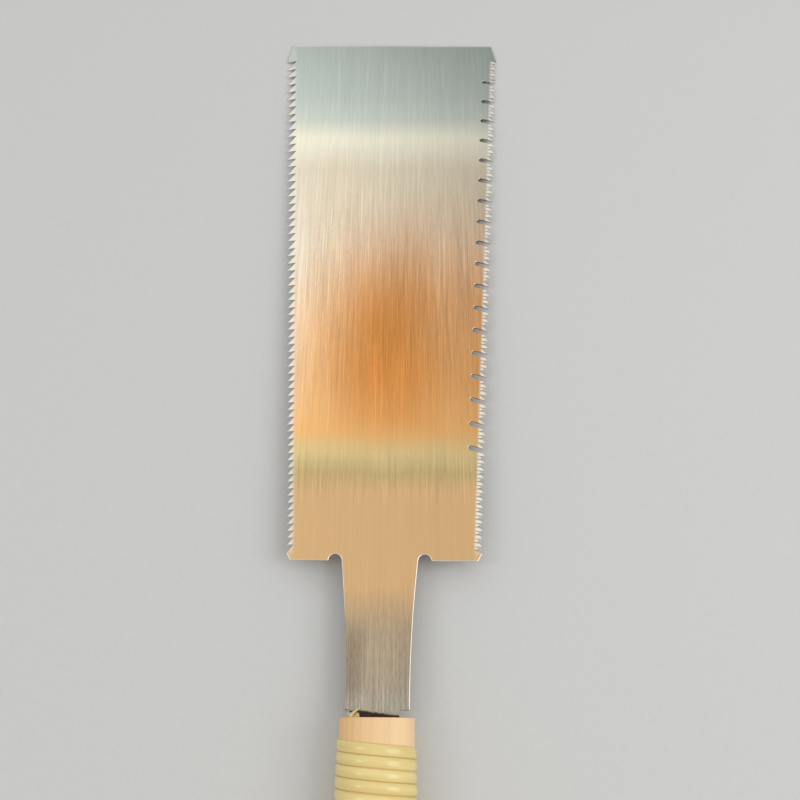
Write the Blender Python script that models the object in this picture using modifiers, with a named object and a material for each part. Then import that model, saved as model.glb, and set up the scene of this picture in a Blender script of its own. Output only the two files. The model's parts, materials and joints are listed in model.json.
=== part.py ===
"""Ryoba saw: a two-edged pull saw whose tang sits in a split wooden handle bound with rattan.

The saw frame has y = 0 at the handle's mouth, +Y towards the blade's tip, +X towards the crosscut
teeth and z = 0 in the middle of the blade. The whole saw is then laid down on z = 0 as it rests on a
table: on the tip of its blade and on the first turns of the binding.
"""
import math

import bmesh
import bpy
from mathutils import Matrix, Vector

# Blade plate: the width is measured over the points of the teeth
BLADE_LENGTH = 0.270
TIP_WIDTH = 0.1094
HEEL_WIDTH = 0.0768
PLATE_THICKNESS = 0.00095
PLATE_OFFSET = 0.0016
TIP_CORNER_ACROSS = 0.0028
TIP_CORNER_ALONG = 0.0104
TIP_BULGE = 0.0005
HEEL_CORNER_ACROSS = 0.0013
HEEL_CORNER_ALONG = 0.0026

# Neck, and the round notches that relieve the corners where it meets the heel
NECK_LENGTH = 0.0549
NECK_TOP_WIDTH = 0.0302
NECK_WIDTH = 0.0240
NECK_THICKNESS = 0.0023
NECK_FULL_THICKNESS_AT = 0.024
RELIEF_RADIUS = 0.0026
SHOULDER_STAND_OFF = 0.0021

# Tang
TANG_LENGTH = 0.105
TANG_WIDTH = 0.0183
TANG_OFFSET = -0.00095
TANG_END_WIDTH = 0.008
TANG_END_THICKNESS = 0.0016

# Rip teeth, coarser towards the tip
RIP_PITCH_TIP = 0.00505
RIP_PITCH_HEEL = 0.00283
RIP_DEPTH_PER_PITCH = 0.9
RIP_HOOK = math.radians(4)

# Crosscut teeth in groups, each closed by a raker tooth and a slot
CROSSCUT_DEPTH = 0.0029
CROSSCUT_PITCH_TIP = 0.0019
CROSSCUT_PITCH_HEEL = 0.0016
CROSSCUT_POINT_AT = 0.68
GROUP_TEETH = 4
RAKER_LENGTH = 0.0027
RAKER_DROP = 0.0003
SLOT_WIDTH = 0.0021
SLOT_DEPTH = 0.0070
SLOT_SLANT = math.radians(12.7)
SLOT_STEP_TIP = 0.01245
SLOT_STEP_HEEL = 0.01085
FIRST_SLOT_FROM_TIP = 0.0266
LAST_SLOT_FROM_HEEL = 0.0457

# Handle, an oval that swells towards the butt
HANDLE_LENGTH = 0.315
MOUTH_WIDTH = 0.0275
BUTT_WIDTH = 0.033
THICKNESS_PER_WIDTH = 0.85
MOUTH_ROUND = 0.0008
BUTT_ROUND = 0.003

# Rattan binding
COLLAR_LENGTH = 0.0068
BINDING_TURNS = 24
BINDING_SLANT = 0.0005
STRIP_WIDTH = 0.0035
STRIP_GAP = 0.0005
STRIP_THICKNESS = 0.0006

# Shim between the tang and the upper half
SHIM_PAST_TANG = 0.0005
SHIM_WIDTH = 0.0042
SHIM_LENGTH = 0.030
SHIM_STICKS_OUT = 0.0026
SHIM_THICKNESS = 0.0009
SHIM_END_THICKNESS = 0.0003

# Fits and mesh fineness
CLEARANCE = 0.0003
POCKET_END_ROOM = 0.003
CUT_PAST = 0.002
HANDLE_SIDES = 48
SWELL_STEPS = 10
ROUND_STEPS = 3
TIP_STEPS = 8
SLOT_END_STEPS = 6
RELIEF_STEPS = 8
NECK_STEPS = 8
POINTS_PER_TURN = 24
DOME_STEPS = 4
SMOOTH_BELOW = math.radians(40)
WELD = 0.000001

HEEL_Y = SHOULDER_STAND_OFF + NECK_LENGTH
TIP_Y = HEEL_Y + BLADE_LENGTH
BINDING_PITCH = STRIP_WIDTH + STRIP_GAP
SHIM_LEFT = TANG_OFFSET - TANG_WIDTH / 2 - SHIM_PAST_TANG


def lerp(a, b, t):
    return a + (b - a) * t


def clear_scene():
    for obj in list(bpy.data.objects):
        bpy.data.objects.remove(obj, do_unlink=True)


def make_collection(name):
    collection = bpy.data.collections.new(name)
    bpy.context.scene.collection.children.link(collection)
    return collection


def make_material(name, colour, roughness, metallic):
    material = bpy.data.materials.new(name)
    material.use_nodes = True
    shader = material.node_tree.nodes["Principled BSDF"]
    shader.inputs["Base Color"].default_value = (*colour, 1.0)
    shader.inputs["Roughness"].default_value = roughness
    shader.inputs["Metallic"].default_value = metallic
    return material


def make_object(name, mesh, collection, root):
    obj = bpy.data.objects.new(name, mesh)
    collection.objects.link(obj)
    obj.parent = root
    return obj


def mesh_of(obj):
    """The mesh that an object's curve or modifiers give, with its loose caps welded."""
    bpy.context.view_layer.update()
    graph = bpy.context.evaluated_depsgraph_get()
    mesh = bpy.data.meshes.new_from_object(obj.evaluated_get(graph))
    bm = bmesh.new()
    bm.from_mesh(mesh)
    bmesh.ops.remove_doubles(bm, verts=bm.verts, dist=WELD)
    bmesh.ops.recalc_face_normals(bm, faces=bm.faces)
    bm.to_mesh(mesh)
    bm.free()
    return mesh


def flat_solid(name, outline, half_thickness):
    """The mesh of a flat outline, given half its thickness on each side of z = 0."""
    curve = bpy.data.curves.new(name, "CURVE")
    curve.dimensions = "2D"
    curve.fill_mode = "BOTH"
    curve.extrude = half_thickness
    spline = curve.splines.new("POLY")
    spline.points.add(len(outline) - 1)
    for point, (x, y) in zip(spline.points, outline):
        point.co = (x, y, 0.0, 1.0)
    spline.use_cyclic_u = True
    holder = bpy.data.objects.new(name, curve)
    bpy.context.scene.collection.objects.link(holder)
    mesh = mesh_of(holder)
    bpy.data.objects.remove(holder, do_unlink=True)
    return mesh


def tapered_bar(name, front, back):
    """A cube drawn out between two cross-sections, each (y, low x, high x, low z, high z)."""
    mesh = bpy.data.meshes.new(name)
    bm = bmesh.new()
    bmesh.ops.create_cube(bm, size=2.0)
    for vert in bm.verts:
        y, low_x, high_x, low_z, high_z = front if vert.co.y > 0 else back
        vert.co = (high_x if vert.co.x > 0 else low_x, y, high_z if vert.co.z > 0 else low_z)
    bm.to_mesh(mesh)
    bm.free()
    return mesh


def as_cutter(obj):
    obj.hide_render = True
    obj.display_type = "WIRE"
    return obj


def combine(obj, cutter, operation):
    boolean = obj.modifiers.new(cutter.name, "BOOLEAN")
    boolean.operation = operation
    boolean.object = cutter


def graded(start, end, first, last):
    """Places from start to end whose steps shrink from about first to about last."""
    mean = (first - last) / math.log(first / last)
    count = round(abs(end - start) / mean)
    shrink = (last / first) ** (1 / (count - 1))
    return [start + (end - start) * (1 - shrink**i) / (1 - shrink**count) for i in range(count + 1)]


class ToothedEdge:
    """One toothed edge of the plate: places are (distance down the edge from the tip, depth)."""

    def __init__(self, side):
        self.top = Vector((PLATE_OFFSET + side * TIP_WIDTH / 2, TIP_Y))
        bottom = Vector((PLATE_OFFSET + side * HEEL_WIDTH / 2, HEEL_Y))
        self.length = (bottom - self.top).length
        self.down = (bottom - self.top).normalized()
        self.inward = Vector((side * self.down.y, -side * self.down.x))

    def at(self, along, depth):
        place = self.top + self.down * along + self.inward * depth
        return (place.x, place.y)


def rip_outline():
    """Rip teeth from tip to heel, each with a face that leans towards the handle and a long back."""
    edge = ToothedEdge(-1)
    points = graded(TIP_CORNER_ALONG, edge.length - HEEL_CORNER_ALONG, RIP_PITCH_TIP, RIP_PITCH_HEEL)
    outline = [edge.at(0.0, TIP_CORNER_ACROSS)]
    for point, following in zip(points, points[1:]):
        depth = RIP_DEPTH_PER_PITCH * (following - point)
        outline.append(edge.at(point, 0.0))
        outline.append(edge.at(point - depth * math.tan(RIP_HOOK), depth))
    outline.append(edge.at(points[-1], 0.0))
    outline.append(edge.at(edge.length, HEEL_CORNER_ACROSS))
    return outline


def crosscut_row(edge, start, end, count):
    """A row of crosscut teeth: the valley before each tooth, then its point."""
    pitch = (end - start) / count
    row = []
    for i in range(count):
        row.append(edge.at(start + i * pitch, CROSSCUT_DEPTH))
        row.append(edge.at(start + (i + CROSSCUT_POINT_AT) * pitch, 0.0))
    return row


def raker_slot(edge, centre):
    """The notch in front of a raker, the raker's point, and the round-ended slot behind it."""
    half = SLOT_WIDTH / 2 / math.cos(SLOT_SLANT)
    lean = math.tan(SLOT_SLANT)
    end_depth = SLOT_DEPTH - SLOT_WIDTH / 2
    end_along = centre - end_depth * lean
    slot = [edge.at(centre - half - RAKER_LENGTH, CROSSCUT_DEPTH)]
    slot.append(edge.at(centre - half - RAKER_DROP * lean, RAKER_DROP))
    for i in range(SLOT_END_STEPS + 1):
        turn = math.pi * i / SLOT_END_STEPS + SLOT_SLANT
        along = end_along - SLOT_WIDTH / 2 * math.cos(turn)
        depth = end_depth + SLOT_WIDTH / 2 * math.sin(turn)
        slot.append(edge.at(along, depth))
    return slot


def crosscut_outline():
    """Crosscut teeth from tip to heel: groups with rakers and slots, then one long fine row."""
    edge = ToothedEdge(1)
    half = SLOT_WIDTH / 2 / math.cos(SLOT_SLANT)
    lean = math.tan(SLOT_SLANT)
    last_slot = edge.length - LAST_SLOT_FROM_HEEL
    slots = graded(FIRST_SLOT_FROM_TIP, last_slot, SLOT_STEP_TIP, SLOT_STEP_HEEL)
    outline = [edge.at(0.0, TIP_CORNER_ACROSS), edge.at(TIP_CORNER_ALONG, 0.0)]
    start = TIP_CORNER_ALONG
    for i, centre in enumerate(slots):
        end = centre - half - RAKER_LENGTH
        count = GROUP_TEETH if i else round((end - start) / CROSSCUT_PITCH_TIP)
        outline.extend(crosscut_row(edge, start, end, count))
        outline.extend(raker_slot(edge, centre))
        start = centre + half - CROSSCUT_DEPTH * lean
    end = edge.length - HEEL_CORNER_ALONG
    count = round((end - start) / CROSSCUT_PITCH_HEEL)
    outline.extend(crosscut_row(edge, start, end, count))
    outline.append(edge.at(end, 0.0))
    outline.append(edge.at(edge.length, HEEL_CORNER_ACROSS))
    return outline


def tip_outline():
    """The tip's edge between its corners, from right to left, filed a little round in the middle."""
    right, left = (Vector(ToothedEdge(side).at(0.0, TIP_CORNER_ACROSS)) for side in (1, -1))
    outline = []
    for i in range(1, TIP_STEPS):
        t = i / TIP_STEPS
        place = right.lerp(left, t)
        outline.append((place.x, place.y + TIP_BULGE * 4 * t * (1 - t)))
    return outline


def neck_outline(side):
    """One side of the neck, from the relief notch at the heel down to the shoulder and the tang."""
    top = NECK_TOP_WIDTH / 2
    outline = []
    for i in range(RELIEF_STEPS + 1):
        turn = math.pi * i / RELIEF_STEPS
        x = top + RELIEF_RADIUS * (1 + math.cos(turn))
        outline.append((side * x, HEEL_Y + RELIEF_RADIUS * math.sin(turn)))
    for i in range(1, NECK_STEPS + 1):
        up = 1 - i / NECK_STEPS
        half_width = lerp(NECK_WIDTH / 2, top, up**2)
        outline.append((side * half_width, SHOULDER_STAND_OFF + up * NECK_LENGTH))
    outline.append((TANG_OFFSET + side * TANG_WIDTH / 2, SHOULDER_STAND_OFF))
    outline.append((TANG_OFFSET + side * TANG_END_WIDTH / 2, -TANG_LENGTH))
    return outline


def blade_thickness():
    """The blade seen from its edge: an even plate, a thicker neck and a tapering tang."""
    half = [
        (TIP_Y + CUT_PAST, PLATE_THICKNESS / 2),
        (HEEL_Y, PLATE_THICKNESS / 2),
        (NECK_FULL_THICKNESS_AT, NECK_THICKNESS / 2),
        (SHOULDER_STAND_OFF, NECK_THICKNESS / 2),
        (-TANG_LENGTH - CUT_PAST, tang_half_thickness(-TANG_LENGTH - CUT_PAST)),
    ]
    return half + [(y, -z) for y, z in reversed(half)]


def tang_half_thickness(y):
    t = (SHOULDER_STAND_OFF - y) / (SHOULDER_STAND_OFF + TANG_LENGTH)
    return lerp(NECK_THICKNESS, TANG_END_THICKNESS, t) / 2


def tang_half_width(y):
    t = (SHOULDER_STAND_OFF - y) / (SHOULDER_STAND_OFF + TANG_LENGTH)
    return lerp(TANG_WIDTH, TANG_END_WIDTH, t) / 2


def build_blade(parts, cutters, root):
    left = rip_outline() + neck_outline(-1)
    right = crosscut_outline() + neck_outline(1)
    blank = flat_solid("saw_blade", left + right[::-1] + tip_outline(), NECK_THICKNESS)
    blade = make_object("saw_blade", blank, parts, root)
    reach = TIP_WIDTH / 2 + PLATE_OFFSET + CUT_PAST
    profile = make_object("edge_view", flat_solid("edge_view", blade_thickness(), reach), cutters, root)
    # The profile is drawn in (y, z) and stands across the blade
    profile.matrix_local = Matrix(((0, 0, 1, 0), (1, 0, 0, 0), (0, 1, 0, 0), (0, 0, 0, 1)))
    combine(blade, as_cutter(profile), "INTERSECT")
    return blade


def handle_half_width(y):
    return lerp(MOUTH_WIDTH, BUTT_WIDTH, -y / HANDLE_LENGTH) / 2


def handle_mesh():
    """The whole handle, turned about its length and then pressed to an oval."""
    mouth, butt = handle_half_width(0.0), handle_half_width(-HANDLE_LENGTH)
    profile = [(0.0, 0.0)]
    for i in range(ROUND_STEPS + 1):
        turn = math.pi / 2 * i / ROUND_STEPS
        profile.append((mouth - MOUTH_ROUND * (1 - math.sin(turn)), -MOUTH_ROUND * (1 - math.cos(turn))))
    for i in range(1, SWELL_STEPS):
        y = lerp(-MOUTH_ROUND, -HANDLE_LENGTH + BUTT_ROUND, i / SWELL_STEPS)
        profile.append((handle_half_width(y), y))
    for i in range(ROUND_STEPS + 1):
        turn = math.pi / 2 * i / ROUND_STEPS
        y = -HANDLE_LENGTH + BUTT_ROUND * (1 - math.sin(turn))
        profile.append((butt - BUTT_ROUND * (1 - math.cos(turn)), y))
    profile.append((0.0, -HANDLE_LENGTH))
    mesh = bpy.data.meshes.new("handle_profile")
    edges = [(i, i + 1) for i in range(len(profile) - 1)]
    mesh.from_pydata([(r, 0.0, y) for r, y in profile], edges, [])
    holder = bpy.data.objects.new("handle_profile", mesh)
    bpy.context.scene.collection.objects.link(holder)
    screw = holder.modifiers.new("turn", "SCREW")
    screw.axis = "Z"
    screw.steps = HANDLE_SIDES
    screw.render_steps = HANDLE_SIDES
    screw.use_merge_vertices = True
    screw.merge_threshold = WELD
    turned = mesh_of(holder)
    bpy.data.objects.remove(holder, do_unlink=True)
    turned.transform(Matrix.Diagonal((1.0, THICKNESS_PER_WIDTH, 1.0, 1.0)))
    turned.transform(Matrix.Rotation(-math.pi / 2, 4, "X"))
    turned.shade_smooth()
    turned.set_sharp_from_angle(angle=SMOOTH_BELOW)
    return turned


def shim_section(y, room=0.0):
    """The shim's cross-section at y, lying one clearance above the tang, with room all round it."""
    t = -y / SHIM_LENGTH
    low = tang_half_thickness(min(y, SHOULDER_STAND_OFF)) + CLEARANCE
    high = low + lerp(SHIM_THICKNESS, SHIM_END_THICKNESS, t)
    return (y, SHIM_LEFT - room, SHIM_LEFT + SHIM_WIDTH + room, low - room, high + room)


def tang_pocket_section(y):
    half_width = tang_half_width(y) + CLEARANCE
    half_thickness = tang_half_thickness(y) + CLEARANCE
    return (y, TANG_OFFSET - half_width, TANG_OFFSET + half_width, -half_thickness, half_thickness)


def build_handle(parts, cutters, root):
    """Two halves that meet in the blade's plane, each with its share of the tang's pocket."""
    back = -TANG_LENGTH - POCKET_END_ROOM
    pocket = tapered_bar("tang_pocket", tang_pocket_section(CUT_PAST), tang_pocket_section(back))
    pocket = as_cutter(make_object("tang_pocket", pocket, cutters, root))
    back = -SHIM_LENGTH - CLEARANCE
    seat = tapered_bar("shim_seat", shim_section(CUT_PAST, CLEARANCE), shim_section(back, CLEARANCE))
    seat = as_cutter(make_object("shim_seat", seat, cutters, root))
    halves = []
    for name, side in (("handle_upper_half", 1), ("handle_lower_half", -1)):
        half = make_object(name, handle_mesh(), parts, root)
        reach = BUTT_WIDTH
        faces = sorted((side * CLEARANCE / 2, side * reach))
        ends = [(y, -reach, reach, *faces) for y in (CUT_PAST, -HANDLE_LENGTH - CUT_PAST)]
        keep = make_object(name + "_side", tapered_bar(name + "_side", *ends), cutters, root)
        combine(half, as_cutter(keep), "INTERSECT")
        combine(half, pocket, "DIFFERENCE")
        halves.append(half)
    combine(halves[0], seat, "DIFFERENCE")
    return halves


def build_shim(parts, root):
    mesh = tapered_bar("tang_shim", shim_section(SHIM_STICKS_OUT), shim_section(-SHIM_LENGTH))
    return make_object("tang_shim", mesh, parts, root)


def binding_path():
    """The middle of the strip: a slanting helix that starts under the handle, behind the collar."""
    path = []
    for i in range(BINDING_TURNS * POINTS_PER_TURN + 1):
        # Half a step on, so that the binding lies on one of its flats and not on a ridge
        turns = (i + 0.5) / POINTS_PER_TURN
        turn = 2 * math.pi * turns
        y = -COLLAR_LENGTH - STRIP_WIDTH / 2 - BINDING_PITCH * turns
        lift = CLEARANCE + STRIP_THICKNESS / 2
        half_width = handle_half_width(y) + lift
        half_height = handle_half_width(y) * THICKNESS_PER_WIDTH + lift
        y -= BINDING_SLANT / 2 * (1 - math.sin(turn))
        path.append(Vector((-half_width * math.sin(turn), y, -half_height * math.cos(turn))))
    return path


def strip_section():
    """The strip's cross-section as (height, place across): flat underneath, with a low domed top."""
    section = []
    for i in range(DOME_STEPS + 1):
        turn = math.pi * i / DOME_STEPS
        section.append((STRIP_THICKNESS * (math.sin(turn) - 0.5), STRIP_WIDTH / 2 * math.cos(turn)))
    return section


def build_binding(parts, root):
    path = binding_path()
    gaps = []
    for i, point in enumerate(path):
        for other in path[i + POINTS_PER_TURN // 2 :]:
            gaps.append((other - point).length)
    print("least gap between turns of the binding: %.2f mm" % ((min(gaps) - STRIP_WIDTH) * 1000))
    shape = bpy.data.curves.new("strip_section", "CURVE")
    shape.dimensions = "2D"
    outline = shape.splines.new("POLY")
    corners = strip_section()
    outline.points.add(len(corners) - 1)
    for point, (x, y) in zip(outline.points, corners):
        point.co = (x, y, 0.0, 1.0)
    outline.use_cyclic_u = True
    section = bpy.data.objects.new("strip_section", shape)
    bpy.context.scene.collection.objects.link(section)
    # The helix is wound about Z, where the strip keeps its flat side to the axis, and then laid along Y
    curve = bpy.data.curves.new("rattan_binding", "CURVE")
    curve.dimensions = "3D"
    curve.twist_mode = "Z_UP"
    curve.bevel_mode = "OBJECT"
    curve.bevel_object = section
    curve.use_fill_caps = True
    spline = curve.splines.new("POLY")
    spline.points.add(len(path) - 1)
    for point, place in zip(spline.points, path):
        point.co = (place.x, -place.z, place.y, 1.0)
    holder = bpy.data.objects.new("rattan_binding", curve)
    bpy.context.scene.collection.objects.link(holder)
    mesh = mesh_of(holder)
    bpy.data.objects.remove(holder, do_unlink=True)
    bpy.data.objects.remove(section, do_unlink=True)
    mesh.transform(Matrix.Rotation(-math.pi / 2, 4, "X"))
    mesh.shade_smooth()
    mesh.set_sharp_from_angle(angle=SMOOTH_BELOW)
    return make_object("rattan_binding", mesh, parts, root)


def set_down(root, pieces, binding):
    """Tilts the saw on to its tip and its binding, with the origin under the middle of its box."""
    tip = Vector((0.0, max(y for _, y in tip_outline()), -PLATE_THICKNESS / 2))
    slopes = [(tip.z - v.co.z) / (tip.y - v.co.y) for v in binding.data.vertices]
    root.rotation_euler.x = -math.atan(max(slopes))
    bpy.context.view_layer.update()
    graph = bpy.context.evaluated_depsgraph_get()
    corners = []
    for piece in pieces:
        solid = piece.evaluated_get(graph)
        corners.extend(solid.matrix_world @ vert.co for vert in solid.data.vertices)
    low = [min(corner[i] for corner in corners) for i in range(3)]
    high = [max(corner[i] for corner in corners) for i in range(3)]
    root.location = (-(low[0] + high[0]) / 2, -(low[1] + high[1]) / 2, -low[2])
    bpy.context.view_layer.update()


def main():
    clear_scene()
    parts = make_collection("ryoba_saw")
    cutters = make_collection("cutters")
    root = bpy.data.objects.new("saw_frame", None)
    parts.objects.link(root)
    blade = build_blade(parts, cutters, root)
    upper, lower = build_handle(parts, cutters, root)
    binding = build_binding(parts, root)
    shim = build_shim(parts, root)
    finishes = (
        (blade, make_material("scraped_steel", (0.62, 0.58, 0.50), 0.35, 1.0)),
        (upper, make_material("upper_wood", (0.74, 0.52, 0.32), 0.6, 0.0)),
        (lower, make_material("lower_wood", (0.72, 0.50, 0.31), 0.6, 0.0)),
        (binding, make_material("rattan", (0.78, 0.66, 0.33), 0.3, 0.0)),
        (shim, make_material("split_wood", (0.72, 0.55, 0.22), 0.7, 0.0)),
    )
    for piece, material in finishes:
        piece.data.materials.clear()
        piece.data.materials.append(material)
    set_down(root, [piece for piece, _ in finishes], binding)


main()
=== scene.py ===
import json
import math

import bmesh
import bpy
from mathutils import Matrix, Vector, noise


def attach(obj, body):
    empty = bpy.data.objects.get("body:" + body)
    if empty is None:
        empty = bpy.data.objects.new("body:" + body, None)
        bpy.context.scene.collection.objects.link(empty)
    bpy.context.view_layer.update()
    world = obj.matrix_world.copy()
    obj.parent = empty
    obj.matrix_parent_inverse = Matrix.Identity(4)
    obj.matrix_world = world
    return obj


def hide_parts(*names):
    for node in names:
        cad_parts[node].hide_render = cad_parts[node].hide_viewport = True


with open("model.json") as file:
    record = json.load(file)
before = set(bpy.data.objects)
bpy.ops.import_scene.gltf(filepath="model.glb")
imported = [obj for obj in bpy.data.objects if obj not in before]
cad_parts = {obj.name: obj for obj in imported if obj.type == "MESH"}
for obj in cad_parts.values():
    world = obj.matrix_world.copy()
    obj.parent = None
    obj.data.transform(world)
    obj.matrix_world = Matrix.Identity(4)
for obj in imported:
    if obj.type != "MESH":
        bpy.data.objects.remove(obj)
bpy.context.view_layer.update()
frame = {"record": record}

# Sizes are in metres and places are in the saw's own frame: y runs along the saw from the mouth of the
# handle to the tip, x across it towards the crosscut teeth, and z = 0 is the middle of the blade.

# Plate
BLADE_LENGTH = 0.270
TIP_WIDTH = 0.1094
HEEL_WIDTH = 0.0768
PLATE_THICKNESS = 0.00095
PLATE_OFFSET = 0.0016
TIP_CORNER_ACROSS = 0.0028
TIP_CORNER_ALONG = 0.0104
TIP_LEAN = 0.0003
HEEL_CORNER_ACROSS = 0.0013
HEEL_CORNER_ALONG = 0.0026
EDGE_EASE = 0.00028
SLOT_EASE = 0.00014
# Nicks in the tip's edge: place across, width and depth
NICKS = (
    (0.0182, 0.0008, 0.00045),
    (-0.0133, 0.0009, 0.00065),
    (-0.0152, 0.0008, 0.00055),
    (-0.0189, 0.0012, 0.00075),
)

# Neck and tang
NECK_LENGTH = 0.0549
NECK_TOP_WIDTH = 0.0302
NECK_WIDTH = 0.0240
NECK_THICKNESS = 0.0023
NECK_FULL_THICKNESS_AT = 0.024
RELIEF_RADIUS = 0.0026
SHOULDER_STAND_OFF = 0.0021
TANG_LENGTH = 0.105
TANG_WIDTH = 0.0183
TANG_OFFSET = -0.00095
TANG_END_WIDTH = 0.008
TANG_END_THICKNESS = 0.0016
# Cuts that carry the change of thickness: so many from the heel down the neck, then at these places
SWELL_CUTS = 10
FURTHER_CUTS = (0.012, SHOULDER_STAND_OFF, 0.0, -0.035, -0.070)

# Rip teeth
RIP_PITCH_TIP = 0.00509
RIP_PITCH_HEEL = 0.00277
RIP_DEPTH_TIP = 0.0047
RIP_DEPTH_HEEL = 0.0029
RIP_HOOK_PER_PITCH = 0.068
RIP_START = 0.0116
RIP_END = 0.0032
RIP_BEVEL_ALONG = -0.10
RIP_BEVEL_DEPTH = 0.21
RIP_BEVEL_SET = 0.8
RIP_POINT_THICKNESS = 0.55

# Crosscut teeth
CROSSCUT_DEPTH = 0.0033
CROSSCUT_PITCH_TIP = 0.0019
CROSSCUT_PITCH_HEEL = 0.0016
GROUP_TEETH = 4
RAKER_LENGTH = 0.0027
RAKER_DROP = 0.0003
SLOT_WIDTH = 0.0023
SLOT_DEPTH = 0.0070
SLOT_SLANT = math.radians(12.7)
SLOT_MOUTH = CROSSCUT_DEPTH * 1.25
SLOT_STEP_TIP = 0.01245
SLOT_STEP_HEEL = 0.01085
FIRST_SLOT_FROM_TIP = 0.0266
LAST_SLOT_FROM_HEEL = 0.0457
LAST_TOOTH_LAND = 0.3
TOOTH_SET = 0.00016
TOOTH_UNEVENNESS = 0.00006

# Handle
HANDLE_LENGTH = 0.315
MOUTH_WIDTH = 0.0275
BUTT_WIDTH = 0.033
THICKNESS_PER_WIDTH = 0.85
MOUTH_Y = -0.0005
MOUTH_ROUND = 0.0003
BUTT_ROUND = 0.003
RING_WIDTH = 0.0024
PITH_LEFT = 0.031
PITH_BELOW = 0.046
HALF_JOINT_GAP = 0.00003
JOINT_EASE = 0.00016
TANG_ROOM = 0.0002
POCKET_END_ROOM = 0.003
POCKET_WALL = 0.00002
POCKET_MIDDLE = 0.060

# Rattan binding
COLLAR_LENGTH = 0.0068
BINDING_TURNS = 24
BINDING_SLANT = 0.0008
BINDING_PITCH = 0.0040
STRIP_WIDTH = 0.00402
STRIP_HEIGHT = 0.000948
STRIP_FULLNESS = 0.95
STRIP_SINK = 0.00012
STRIP_START = 0.00175
STRIP_SWAY = 0.0001
STRIP_END_SIZE = 0.35
STRIP_END_TURNS = 0.3
STEPS_PER_TURN = 60
SECTION_CORNERS = 20

# Shim
SHIM_PAST_TANG = 0.0005
SHIM_WIDTH = 0.0042
SHIM_LENGTH = 0.030
SHIM_THICKNESS = 0.0009
SHIM_CLEARANCE = 0.0003
SHIM_GAP = 0.0001
SLIVERS = 8
# The sliver that is bent across: places from the shim's lower left, and width and height there
BENT_SLIVER = (
    ((0.0006, -0.0020, 0.00050), (0.00120, 0.00030)),
    ((0.0012, 0.0004, 0.00055), (0.00165, 0.00042)),
    ((0.0022, 0.0014, 0.00075), (0.00160, 0.00040)),
    ((0.0034, 0.0022, 0.00095), (0.00125, 0.00034)),
    ((0.0043, 0.0029, 0.00115), (0.00035, 0.00012)),
)

# Stage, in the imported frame
FLOOR_RADIUS = 4.0
FLOOR_DROP = 0.0001
SKY_STRENGTH = 0.57
# Name, place, width, height and power
LAMPS = (
    ("panel_above", (0.0, 0.60, 1.40), 2.2, 2.0, 5.8),
    ("box_right", (0.84, -0.05, 0.88), 0.7, 0.7, 4.0),
    ("box_left", (-0.80, -0.05, 0.92), 0.3, 0.35, 1.2),
)
CAMERA_PLACE = (0.00781, -0.00109, 0.3277)
CAMERA_TURN = [math.radians(turn) for turn in (20.674, 0.193, 0.462)]
FOCAL_LENGTH = 36.0

# Steps in each curve
SLOT_END_STEPS = 10
NOTCH_STEPS = 14
NECK_STEPS = 16
OVAL_STEPS = 44
ROUNDING_STEPS = 6

WELD = 0.000002
SMOOTH_BELOW = math.radians(30)
BLADE_SMOOTH_BELOW = math.radians(12)
STRIP_SMOOTH_BELOW = math.radians(60)

HEEL_Y = SHOULDER_STAND_OFF + NECK_LENGTH
TIP_Y = HEEL_Y + BLADE_LENGTH
HALF_PLATE = PLATE_THICKNESS / 2
SLOT_HALF = SLOT_WIDTH / 2 / math.cos(SLOT_SLANT)
SLOT_LEAN = math.tan(SLOT_SLANT)
POCKET_END = -TANG_LENGTH - POCKET_END_ROOM
SHIM_LEFT = TANG_OFFSET - TANG_WIDTH / 2 - SHIM_PAST_TANG


def lerp(a, b, t):
    return a + (b - a) * t


def ease(t):
    """0 to 1 with a soft start and end."""
    t = min(max(t, 0.0), 1.0)
    return t * t * (3 - 2 * t)


def half_turn(steps):
    """Angles from 0 to half a turn in even steps."""
    return [math.pi * i / steps for i in range(steps + 1)]


def wander(place, seed):
    """A smooth number between about -1 and 1 that is the same on every run."""
    return noise.noise(Vector((place, seed * 7.31, 0.5)))


def saw_lay():
    """Where the saw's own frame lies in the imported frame, from the mounts on the blade and the butt."""
    mounts = {mount["name"]: mount for mount in frame["record"]["mounts"]}
    up = Vector(mounts["blade_face"]["axis"]).normalized()
    along = -Vector(mounts["butt_face"]["axis"]).normalized()
    across = along.cross(up)
    place = Vector(mounts["blade_face"]["pos_m"])
    place -= across * PLATE_OFFSET + along * (HEEL_Y + BLADE_LENGTH / 2) + up * HALF_PLATE
    turn = Matrix((across, along, up)).transposed()
    return Matrix.Translation(place) @ turn.to_4x4()


LAY = saw_lay()


def add_object(name, data):
    obj = bpy.data.objects.new(name, data)
    bpy.context.scene.collection.objects.link(obj)
    return obj


def finished_piece(mesh, materials, body, node):
    """Puts a mesh made in the saw's frame where it lies and hands it to the frame."""
    name = node + "_visual"
    mesh.name = name
    mesh.transform(LAY)
    for material in materials[len(mesh.materials):]:
        mesh.materials.append(material)
    piece = add_object(name, mesh)
    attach(piece, body)
    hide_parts(node)


def mesh_from(bm, name):
    mesh = bpy.data.meshes.new(name)
    bm.to_mesh(mesh)
    bm.free()
    return mesh


def put_in_order(parts, key):
    """Gives a mesh's corners or faces an order that is the same on every run."""
    ranks = {part: rank for rank, part in enumerate(sorted(parts, key=key))}
    parts.sort(key=ranks.get)


def mark(mesh, name, kind, values, domain="POINT"):
    """Gives a mesh a value of its own at each point or face."""
    attribute = mesh.attributes.new(name, kind, domain)
    attribute.data.foreach_set("vector" if kind == "FLOAT_VECTOR" else "value", values)


def soften(mesh, angle=SMOOTH_BELOW):
    mesh.shade_smooth()
    mesh.set_sharp_from_angle(angle=angle)


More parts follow.
